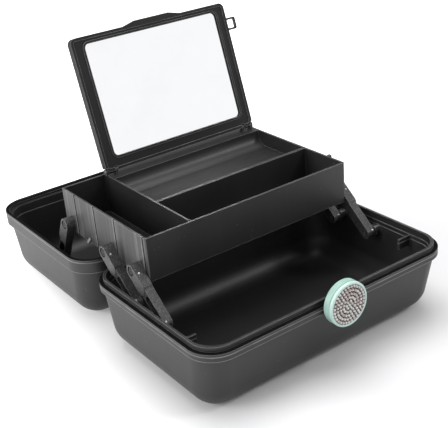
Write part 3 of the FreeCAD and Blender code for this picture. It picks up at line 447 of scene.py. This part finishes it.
def dress(finishes):
    """Round the edges of the moulded pieces, and give every node its finish."""
    slots = node_slots()
    for node, item in frame["nodes"].items():
        material = finishes[OWN_FINISH.get(node, slots[node])].material
        if node in EDGES:
            soften(node, material, EDGES[node] * MM)
        else:
            item.data.materials.clear()
            item.data.materials.append(material)


def pip_place(sign, pivot, station):
    """A point on an arm's upper front edge, at a distance down from its head."""
    down, out = math.radians(ARM_ANGLE), math.radians(ARM_ANGLE + 90)
    rise = ARM_HALF_WIDTH - (ARM_STEP if station > ARM_STEP_STATION else 0.0)
    y, z = pivot
    return Vector((sign * PIP_X,
                   y - station * math.cos(down) + rise * math.cos(out),
                   z - station * math.sin(down) + rise * math.sin(out))) * MM


def add_pip(name, place, node, material):
    work = bmesh.new()
    bmesh.ops.create_icosphere(work, subdivisions=3, radius=PIP_RADIUS * MM,
                               matrix=Matrix.Translation(place))
    mesh = bpy.data.meshes.new(name)
    work.to_mesh(mesh)
    work.free()
    mesh.materials.append(material)
    mesh.shade_smooth()
    pip = add_object(name, mesh)
    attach(pip, body_of(node))


def add_pips(finishes):
    """Small domes on the upper front edges of the four arms, coloured pale as painted
    highlights.
    """
    material = finishes["pip_painted_highlight"].material
    for end, pivot in TRAY_PIVOTS.items():
        for side, sign in (("left", -1), ("right", 1)):
            node = "arm_%s_%s" % (end, side)
            for i, station in enumerate(PIP_STATIONS):
                add_pip("%s_pip_%d" % (node, i), pip_place(sign, pivot, station), node, material)


# ------------------------------------------------------- floor and lights ----

BLACK = rgb(0, 0, 0)
WHITE = rgb(1, 1, 1)

FLOOR_REACH = 6.0
FLOOR_Z = -0.4 * MM
FLOOR_TONES = (rgb(0.65, 0.65, 0.66), rgb(0.67, 0.67, 0.68))
DIM_SPOT = (0.12, -0.10, 0.0)

WORLD_LIGHT = 0.62
SKY_LOW = 0.27
SKY_HIGH = 0.48
SKY_DARK = 0.12

# Each lamp's place, what it faces, its width and height, and its power.
LAMPS = {
    "left_box": ((-1.9, 0.5, 0.9), (-0.1, 0.1, 0.05), 1.2, 1.0, 30.0),
    "top_box": ((0.1, 0.3, 2.2), (0, 0.1, 0.05), 1.8, 1.8, 42.0),
    "right_box": ((1.25, -1.3, 1.65), (0, 0.1, 0.05), 0.5, 0.5, 16.0),
}


def make_floor():
    """A white floor that stays white far off and keeps soft shadows near."""
    finish = Finish("floor_white", Roughness=0.9, Emission_Strength=1.0)
    to_camera = finish.node("LightPath", output="Is Camera Ray")
    to_gloss = finish.node("LightPath", output="Is Glossy Ray")
    settings, inputs = {"operation": "SUBTRACT"}, {0: finish.place, 1: DIM_SPOT}
    shift = finish.node("VectorMath", settings, inputs)
    away = finish.node("VectorMath", {"operation": "LENGTH"}, {0: shift}, output="Value")
    far = away.ease(0.2, 0.6) * 0.75 + away.ease(0.6, 1.3) * 0.25
    glow = finish.mix(to_camera.most(to_gloss) * far, BLACK, WHITE)
    mottle = finish.mix(finish.noise(3.0), *FLOOR_TONES)
    finish.set(Base_Color=mottle, Emission_Color=glow)
    mesh = bpy.data.meshes.new("floor")
    reach = FLOOR_REACH
    corners = [(-reach, -reach, 0), (reach, -reach, 0), (reach, reach, 0), (-reach, reach, 0)]
    mesh.from_pydata(corners, [], [(0, 1, 2, 3)])
    mesh.materials.append(finish.material)
    floor = add_object("floor", mesh)
    floor.location.z = FLOOR_Z


def make_world():
    """A plain grey light that looks white, and darker high up in reflections."""
    world = bpy.data.worlds.new("studio")
    world.use_nodes = True
    bpy.context.scene.world = world
    tree = world.node_tree

    def node(kind, *wires, **settings):
        made = tree.nodes.new("ShaderNode" + kind)
        for name, value in settings.items():
            setattr(made, name, value)
        for key, value in wires:
            if isinstance(value, bpy.types.NodeSocket):
                tree.links.new(value, made.inputs[key])
            else:
                made.inputs[key].default_value = value
        return made.outputs

    def light(strength):
        return node("Background", ("Color", WHITE), ("Strength", strength))[0]

    def either(share, first, second):
        return node("MixShader", (0, share), (1, first), (2, second))[0]

    rays = node("LightPath")
    height = node("SeparateXYZ", (0, node("TexCoord")["Generated"]))["Z"]
    fade = node("MapRange", ("Value", height), ("From Min", SKY_LOW), ("From Max", SKY_HIGH),
                ("To Min", 1.0), ("To Max", SKY_DARK), interpolation_type="SMOOTHSTEP")["Result"]
    shone = either(rays["Is Glossy Ray"], light(WORLD_LIGHT), light(fade))
    seen = either(rays["Is Camera Ray"], shone, light(1.0))
    tree.links.new(seen, tree.nodes["World Output"].inputs[0])


def make_lights():
    for name, (place, aim, width, height, power) in LAMPS.items():
        lamp = bpy.data.lights.new(name, "AREA")
        lamp.shape = "RECTANGLE"
        lamp.size = width
        lamp.size_y = height
        lamp.energy = power
        item = add_object(name, lamp)
        item.location = place
        direction = Vector(aim) - Vector(place)
        item.rotation_euler = direction.to_track_quat("-Z", "Y").to_euler()


# ----------------------------------------------------------------- camera ----

CAMERA_PLACE = (-0.52649, -0.68945, 0.55096)
CAMERA_AZIMUTH = -34.45
CAMERA_HEIGHT = 25.59
CAMERA_ROLL = -4.79
CAMERA_LENS = 74.59
SENSOR = 36.0


def make_camera():
    """A camera that looks from the front left, turned a little on its axis."""
    azimuth, height, roll = map(math.radians, (CAMERA_AZIMUTH, CAMERA_HEIGHT, CAMERA_ROLL))
    back = Vector((math.sin(azimuth) * math.cos(height),
                   -math.cos(azimuth) * math.cos(height),
                   math.sin(height)))
    right = Vector((math.cos(azimuth), math.sin(azimuth), 0.0))
    up = back.cross(right)
    turned_right = right * math.cos(roll) + up * math.sin(roll)
    turned_up = up * math.cos(roll) - right * math.sin(roll)
    turn = Matrix((turned_right, turned_up, back)).transposed().to_4x4()
    turn.translation = Vector(CAMERA_PLACE)
    lens = bpy.data.cameras.new("camera")
    lens.sensor_width = SENSOR
    lens.lens = CAMERA_LENS
    camera = add_object("camera", lens)
    camera.matrix_world = turn
    bpy.context.scene.camera = camera


# ------------------------------------------------------------------ build ----


def main():
    finishes = make_finishes()
    dress(finishes)
    add_pips(finishes)
    make_floor()
    make_world()
    make_lights()
    make_camera()
    bpy.context.scene.view_settings.view_transform = "Standard"


main()
